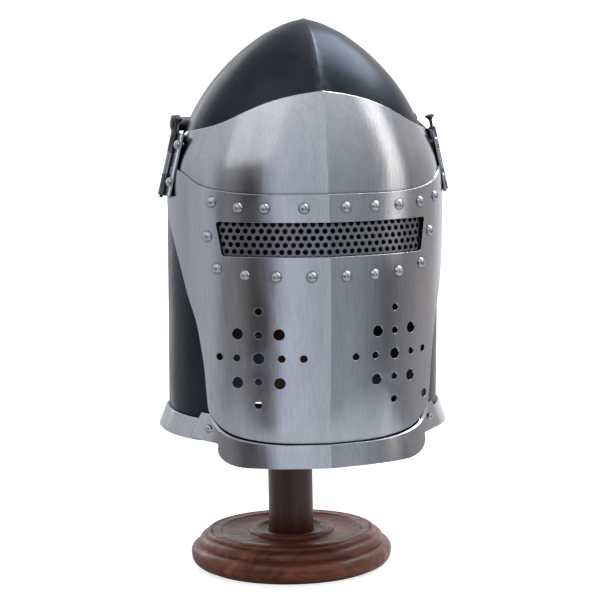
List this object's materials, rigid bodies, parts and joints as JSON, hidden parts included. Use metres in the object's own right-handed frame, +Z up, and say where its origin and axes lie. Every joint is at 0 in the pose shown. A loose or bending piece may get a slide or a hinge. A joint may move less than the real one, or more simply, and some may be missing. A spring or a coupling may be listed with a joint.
{
  "type": "visored helmet on stand",
  "caption": "Pointed-crown steel helmet with a pivoting visor, grille-backed eye slot and breath crosses, on a turned wooden stand.",
  "frame": {"origin": "centre of the stand's foot, on the face it stands on", "axes": "+Z up; the visor faces -Y; +X is the wearer's left, so nodes named _left are at +X"},
  "size_m": [0.2368, 0.2605, 0.4543],
  "materials": {
    "turned_wood": "dark stained and polished",
    "felt": "pressed felt",
    "fastener_steel": "plain",
    "blackened_steel": "satin gunmetal",
    "band_steel": "satin polished",
    "visor_steel": "satin polished",
    "grille_steel": "perforated sheet, satin",
    "rivet_steel": "polished domed heads",
    "black_rivet_steel": "blackened",
    "leaf_steel": "filed",
    "black_hinge_steel": "blackened",
    "leather": "vegetable tanned"
  },
  "bodies": {
    "stand": {"stand_base": "turned_wood", "stand_post": "turned_wood", "stand_head_rest": "turned_wood", "stand_felt": "felt", "stand_screw": "fastener_steel"},
    "helmet": {"skull_left": "blackened_steel", "skull_right": "blackened_steel", "neck_band": "band_steel", "chin_band": "band_steel", "band_rivets": "rivet_steel", "liner_headband": "leather", "liner_tongues": "leather", "liner_rivets": "black_rivet_steel", "pivot_stud_left": "black_hinge_steel", "pivot_stud_right": "black_hinge_steel", "pivot_collar_left": "black_hinge_steel", "pivot_collar_right": "black_hinge_steel"},
    "visor": {"visor_face_plate": "visor_steel", "visor_brow_plate": "visor_steel", "ocular_grille": "grille_steel", "upper_slot_rivets": "rivet_steel", "lower_slot_rivets": "rivet_steel", "side_slot_rivets": "rivet_steel", "leaf_rivets": "rivet_steel", "hinge_leaf_left": "leaf_steel", "hinge_leaf_right": "leaf_steel", "pivot_arm_left": "black_hinge_steel", "pivot_arm_right": "black_hinge_steel"},
    "pin_left": {"hinge_pin_left": "black_hinge_steel"},
    "pin_right": {"hinge_pin_right": "black_hinge_steel"}
  },
  "joints": [
    {"name": "helmet_lift", "type": "slide", "parent": "stand", "child": "helmet", "axis": [0, 0, 1], "range_m": [0, 0.3]},
    {"name": "visor_lift", "type": "hinge", "parent": "helmet", "child": "visor", "pos_m": [0, -0.04097, 0.37324], "axis": [-1, 0, 0], "range_deg": [0, 110]},
    {"name": "pin_left_pull", "type": "slide", "parent": "visor", "child": "pin_left", "axis": [-0.225, -0.068, 0.972], "range_m": [0, 0.06]},
    {"name": "pin_right_pull", "type": "slide", "parent": "visor", "child": "pin_right", "axis": [0.225, -0.068, 0.972], "range_m": [0, 0.06]}
  ]
}
